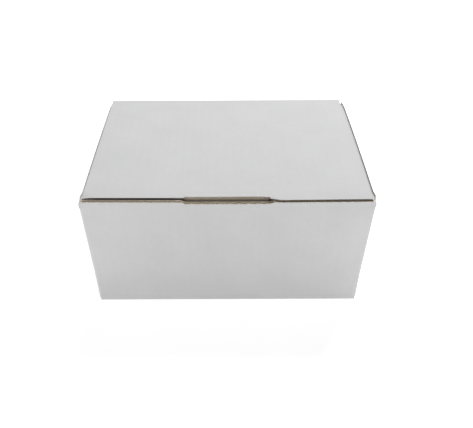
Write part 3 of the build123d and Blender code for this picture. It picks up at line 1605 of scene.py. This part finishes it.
@dataclass
class Lid:
    """The lid panel with its front crease, tuck flap and finger slot."""

    sizes: BoxSizes
    papers: Papers
    settle: Settle
    tuck_length: float = 36.0 * MM
    tuck_side_clearance: float = 1.4 * MM
    tuck_corner_radius: float = 14.0 * MM
    slot_width: float = 63.5 * MM
    slot_taper: float = 2.7 * MM
    slot_set_back: float = 0.6 * MM
    slot_slant: float = 0.8 * MM
    slot_web: float = 1.8 * MM
    hinge_leg: float = 2.0 * MM
    fold_reach: float = 2.4 * MM
    edge_recess: float = 0.5 * MM
    edge_filling: float = 2.0 * MM
    cell: float = 5.0 * MM

    def __post_init__(self) -> None:
        """Work out the lid's middle line and the marks along it."""
        box, board = self.sizes, self.sizes.board
        arm = box.hinge.y + box.lid_front
        self.lean = math.asin(self.tuck_length / 2 / arm)
        factor = math.tan(math.pi / 4 + self.lean / 2)
        crease_y = -box.lid_front + board.half * factor - board.fold_outer * (factor - 1)
        tip = (
            crease_y + self.tuck_length * math.sin(self.lean),
            box.hinge.z - self.tuck_length * math.cos(self.lean),
        )
        seam = (box.hinge.y - self.hinge_leg, box.hinge.z)
        self.path = FoldPath([seam, (crease_y, box.hinge.z), tip], board)
        self.crease_mark = self.path.marks[1]
        self.slot_start = self.crease_mark - self.fold_reach
        self.shoulder_mark = self.crease_mark + board.half
        self.slot_end = self.shoulder_mark + 0.7 * self.slot_web
        self.slot_edge = -box.lid_front + self.slot_set_back
        self.half_tuck = box.side_inside - self.tuck_side_clearance

    def _slot_half(self, distance: float) -> float:
        """Half the finger slot's width there: narrow in the panel, slanting out to the crease's front."""
        slant = ease(distance - self.crease_mark, 0.0, self.slot_slant)
        return self.slot_width / 2 - self.slot_taper * (1 - slant)

    def _tuck_half(self, distance: float) -> float:
        """Half the tuck flap's width there, with its rounded lower corners."""
        radius = self.tuck_corner_radius
        over = max(0.0, distance - (self.path.length - radius))
        return self.half_tuck - radius + math.sqrt(max(0.0, radius**2 - over**2))

    def _sheet(self, shown: Layer, hidden: Layer, start: float, end: float) -> Slab:
        """Make a layer of the lid, cut to the lid's outline.

        Args:
            shown: Its shown face.
            hidden: Its hidden face.
            start: How far along the lid it starts.
            end: Where it ends.

        Returns:
            The slab.
        """
        path, side = self.path, shown[1]
        slot_nominal = self.slot_width / 2
        radius = self.tuck_corner_radius
        corner_centre = path.length - radius
        arc = [corner_centre + radius * math.sin(math.radians(angle)) for angle in range(0, 91, 10)]
        marks = [self.slot_start, self.slot_end, self.shoulder_mark, *arc]
        stations = [d for d in path.stations(side, self.cell, marks, arc_steps=20) if start <= d <= end]
        fine = [1.0 * MM] if start == 0.0 else []

        def keep(distance: float, x: float) -> bool:
            """Nothing in the slot, and the tuck flap narrower than the crease."""
            if abs(x) > self.half_tuck and distance > self.shoulder_mark:
                return False
            return not (abs(x) < slot_nominal and self.slot_start < distance < self.slot_end)

        def shape(distance: float, x: float) -> tuple[float, float]:
            """Bring the slot's ends and the tuck flap's corners to their slant and round.

            Args:
                distance: How far along the lid.
                x: Where across it.

            Returns:
                The place in the finished outline.
            """
            size = abs(x)
            if distance > corner_centre and size <= self.half_tuck + 1e-9:
                return distance, x * self._tuck_half(distance) / self.half_tuck
            if abs(size - slot_nominal) < SAME:
                return distance, math.copysign(self._slot_half(distance), x)
            return distance, x

        half_lid = self.sizes.half_lid
        columns = mirrored((0.0, slot_nominal, self.half_tuck, half_lid, half_lid - 1.0 * MM))
        return Slab(
            path=path,
            plane=Plane.COLUMN,
            shown=shown,
            hidden=hidden,
            distances=spread([start, end, *fine, *stations], self.cell),
            widths=spread(columns, self.cell),
            keep=keep,
            shape=shape,
        )

    def _flat_end(self, shown: Layer, hidden: Layer) -> Slab:
        """Make the panel's flat end inside the finger slot, up to its raw edge.

        Args:
            shown: Its shown face.
            hidden: Its hidden face.

        Returns:
            The slab.
        """
        box = self.sizes
        start = self.path.corners[0][0] - self.slot_start
        path = FoldPath([(start, box.hinge.z), (self.slot_edge, box.hinge.z)], box.board)
        half = self.slot_width / 2 - self.slot_taper
        return Slab(
            path=path,
            plane=Plane.COLUMN,
            shown=shown,
            hidden=hidden,
            distances=[0.0, path.length / 2, path.length],
            widths=spread(mirrored((0.0, half)), self.cell),
        )

    def _waves(self) -> list[WaveStretch]:
        """Lay out the waved sheet in the lid panel and in the tuck flap.

        Returns:
            The two stretches.
        """
        box = self.sizes
        x, back = Vector((1, 0, 0)), Vector((0, -1, 0))
        inset = 0.12 * MM
        start = Vector((0, box.hinge.y - self.hinge_leg, box.hinge.z))
        panel_slot = start.y - self.slot_edge - inset
        tip = Vector((0, *self.path.corners[-1]))
        rise = Vector((0, *(-self.path.directions[-1])))
        whole_tuck = self.path.length - self.crease_mark - self.fold_reach - inset
        slot_tuck = self.path.length - self.slot_end - 2 * inset
        opening = 2 * (self.slot_width / 2 - self.slot_taper) - 2 * inset
        return [
            WaveStretch(
                origin=start,
                across=x,
                along=back,
                width=2 * (box.half_lid - inset),
                length=self.slot_start,
                cut_width=opening,
                cut_taper=inset,
                cut_depth=self.slot_start - panel_slot,
            ),
            WaveStretch(
                origin=tip + rise * inset,
                across=x,
                along=rise,
                width=2 * (self.half_tuck - inset),
                length=whole_tuck,
                cut_width=opening,
                cut_taper=inset,
                cut_depth=whole_tuck - slot_tuck,
                corner_radius=self.tuck_corner_radius,
            ),
        ]

    def _crushed(self) -> list[Slab]:
        """Make the crushed waves in the front crease and behind the cut edges of the finger slot.

        Returns:
            The slabs.
        """
        board, slot_nominal = self.sizes.board, self.slot_width / 2
        layers = ((OUTER * board.core, OUTER), (INNER * board.core, INNER))
        slab = self._sheet(*layers, self.crease_mark - self.fold_reach, self.crease_mark + self.fold_reach)
        whole = slab.keep
        slab.keep = lambda distance, x: whole(distance, x) and abs(x) > slot_nominal
        filling = self._flat_end(*layers)
        filling.distances = [0.0, filling.path.length - self.edge_recess]
        tuck = self._sheet(*layers, self.slot_end + self.edge_recess, self.slot_end + self.edge_filling)
        tuck.keep = lambda distance, x: abs(x) < slot_nominal
        return [slab, filling, tuck, self._slot_web()]

    def _slot_web(self) -> Slab:
        """Make the crushed board below the panel's raw edge, where the crease is cut at the finger slot.

        Returns:
            The slab.
        """
        box, half = self.sizes, self.slot_web / 2
        y, top = self.slot_edge + half, box.side_top
        path = FoldPath([(y, top), (y, top - self.slot_web)], box.board)
        return Slab(
            path=path,
            plane=Plane.COLUMN,
            shown=(OUTER * half, OUTER),
            hidden=(INNER * half, INNER),
            distances=[0.0, path.length],
            widths=spread(mirrored((0.0, self.slot_width / 2 - self.slot_taper)), self.cell),
        )

    def build(self, waves: WaveTree) -> None:
        """Make the lid's pieces and tie them to their body.

        Args:
            waves: The node tree that makes the waved sheet.
        """
        board, papers = self.sizes.board, self.papers
        for side, name, paper, slot in (
            (OUTER, "lid_white_liner", papers.white, "board"),
            (INNER, "lid_kraft_liner", papers.kraft, "kraft"),
        ):
            mesh = PaperMesh()
            layers = (side * board.half, side), (side * board.core, side)
            mesh.add(self._sheet(*layers, 0.0, self.path.length))
            mesh.add(self._flat_end(*layers))
            piece = mesh.build(name, self.settle, paper, papers.cut)
            attach(piece, "lid")
            if side == OUTER:
                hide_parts("lid")
        core = PaperMesh()
        for slab in self._crushed():
            core.add(slab)
        attach(core.build("lid_crushed_crease", self.settle, papers.cut, papers.cut), "lid")
        medium = join_waves("lid_waved_medium", waves, self._waves(), self.settle, papers.wave)
        attach(medium, "lid")


@dataclass
class HingeCrease:
    """The scored crease between the back wall and the lid."""

    sizes: BoxSizes
    papers: Papers
    settle: Settle
    leg: float = 2.0 * MM
    cell: float = 6.0 * MM

    def build(self) -> None:
        """Make both skins and the crushed core of the crease."""
        box, board, papers = self.sizes, self.sizes.board, self.papers
        y, z = box.hinge.y, box.hinge.z
        path = FoldPath([(y, z - self.leg), (y, z), (y - self.leg, z)], board)
        outer_core, inner_core = (OUTER * board.core, OUTER), (INNER * board.core, INNER)
        layers = (
            ("hinge_white_skin", (OUTER * board.half, OUTER), outer_core, papers.white, "board"),
            ("hinge_kraft_skin", (INNER * board.half, INNER), inner_core, papers.kraft, "kraft"),
            ("hinge_crushed_core", outer_core, inner_core, papers.cut, "kraft"),
        )
        for name, shown, hidden, paper, slot in layers:
            mesh = PaperMesh()
            mesh.add(
                Slab(
                    path=path,
                    plane=Plane.COLUMN,
                    shown=shown,
                    hidden=hidden,
                    distances=path.stations(shown[1], self.cell, arc_steps=16),
                    widths=spread(mirrored((0.0, box.half_lid)), self.cell),
                )
            )
            piece = mesh.build(name, self.settle, paper, papers.cut)
            out = -board.half if name == "hinge_kraft_skin" else board.half
            start = Vector((0, y + out, z - self.leg))
            end = Vector((0, y - self.leg, z + out))
            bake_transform(piece)
            LOG.info("%s bends between tray and lid", name)


def attach(piece: bpy.types.Object, body: str) -> None:
    """Tie a finished piece to its body.

    Args:
        piece: The piece.
        body: The body it moves with.
    """
    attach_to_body(piece, body)
    LOG.info("%s rides on %s with %d faces", piece.name, body, len(piece.data.polygons))


@dataclass
class Studio:
    """A plain pale floor, soft light and the camera."""

    floor_half: float = 12.0
    floor_tone: Colour = (0.7, 0.7, 0.7)
    floor_glow: float = 0.70
    surround_glow: float = 0.25
    camera_place: Point3 = (0.0, -0.3433, 0.3214)
    camera_turn: Point3 = (49.53, 0.22, -0.14)  # degrees
    lens: float = 39.87
    shift: float = 0.0201

    def build(self) -> None:
        """Make the floor, the lights and the camera."""
        self._floor()
        self._world()
        self._area("key_softbox", (0.5, 1.2, 1.7), (0.0, 0.0, 0.05), 0.7, 49.0)
        self._area("front_fill", (0.0, -1.3, 0.2), (0.0, 0.0, 0.08), 0.6, 3.5)
        self._area("left_fill", (-0.28, -0.12, 0.03), (-0.1, -0.07, 0.04), 0.08, 0.17)
        self._area("right_fill", (0.28, -0.12, 0.03), (0.1, -0.07, 0.04), 0.08, 0.11)
        self._camera()

    def _floor(self) -> None:
        """A wide pale floor."""
        mesh = bpy.data.meshes.new("floor")
        reach = self.floor_half
        corners = [(-reach, -reach, 0), (reach, -reach, 0), (reach, reach, 0), (-reach, reach, 0)]
        mesh.from_pydata(corners, [], [(0, 1, 2, 3)])
        material = bpy.data.materials.new("pale_floor")
        material.use_nodes = True
        shader = material.node_tree.nodes["Principled BSDF"]
        shader.inputs["Base Color"].default_value = colour(self.floor_tone)
        shader.inputs["Roughness"].default_value = 0.9
        shader.inputs["Specular IOR Level"].default_value = 0.1
        shader.inputs["Emission Color"].default_value = (1.0, 1.0, 1.0, 1.0)
        shader.inputs["Emission Strength"].default_value = self.floor_glow
        mesh.materials.append(material)
        floor = bpy.data.objects.new("floor", mesh)
        bpy.context.scene.collection.objects.link(floor)

    def _world(self) -> None:
        """An even pale surround."""
        world = bpy.data.worlds.new("pale_surround")
        world.use_nodes = True
        background = world.node_tree.nodes["Background"]
        background.inputs["Color"].default_value = (1.0, 1.0, 1.0, 1.0)
        background.inputs["Strength"].default_value = self.surround_glow
        bpy.context.scene.world = world
        bpy.context.scene.view_settings.view_transform = "Standard"

    def _area(self, name: str, place: Point3, aim: Point3, size: float, power: float) -> None:
        """Add one square soft light.

        Args:
            name: Its name.
            place: Where it stands.
            aim: The point it faces.
            size: Its side.
            power: In watts.
        """
        light = bpy.data.lights.new(name, "AREA")
        light.size = size
        light.energy = power
        lamp = bpy.data.objects.new(name, light)
        lamp.location = place
        lamp.visible_camera = False
        lamp.rotation_euler = (Vector(aim) - Vector(place)).to_track_quat("-Z", "Y").to_euler()
        bpy.context.scene.collection.objects.link(lamp)

    def _camera(self) -> None:
        """The camera, in front of the box and looking down at it."""
        data = bpy.data.cameras.new("camera")
        data.lens = self.lens
        data.sensor_width = 36.0
        data.shift_x = self.shift
        camera = bpy.data.objects.new("camera", data)
        camera.location = self.camera_place
        camera.rotation_euler = tuple(math.radians(turn) for turn in self.camera_turn)
        bpy.context.scene.collection.objects.link(camera)
        bpy.context.scene.camera = camera


def main() -> None:
    """Build the box and its studio."""
    logging.basicConfig(level=logging.INFO, format="%(name)s: %(message)s")
    board = Board()
    sizes = BoxSizes.from_frame(board)
    papers = Papers.make(board)
    waves = WaveTree(board, papers.wave)
    Studio().build()
    Tray(sizes, papers, TraySettle(sizes)).build(waves)
    Lid(sizes, papers, LidSettle(sizes)).build(waves)
    HingeCrease(sizes, papers, LidSettle(sizes)).build()


if __name__ == "__main__":
    main()
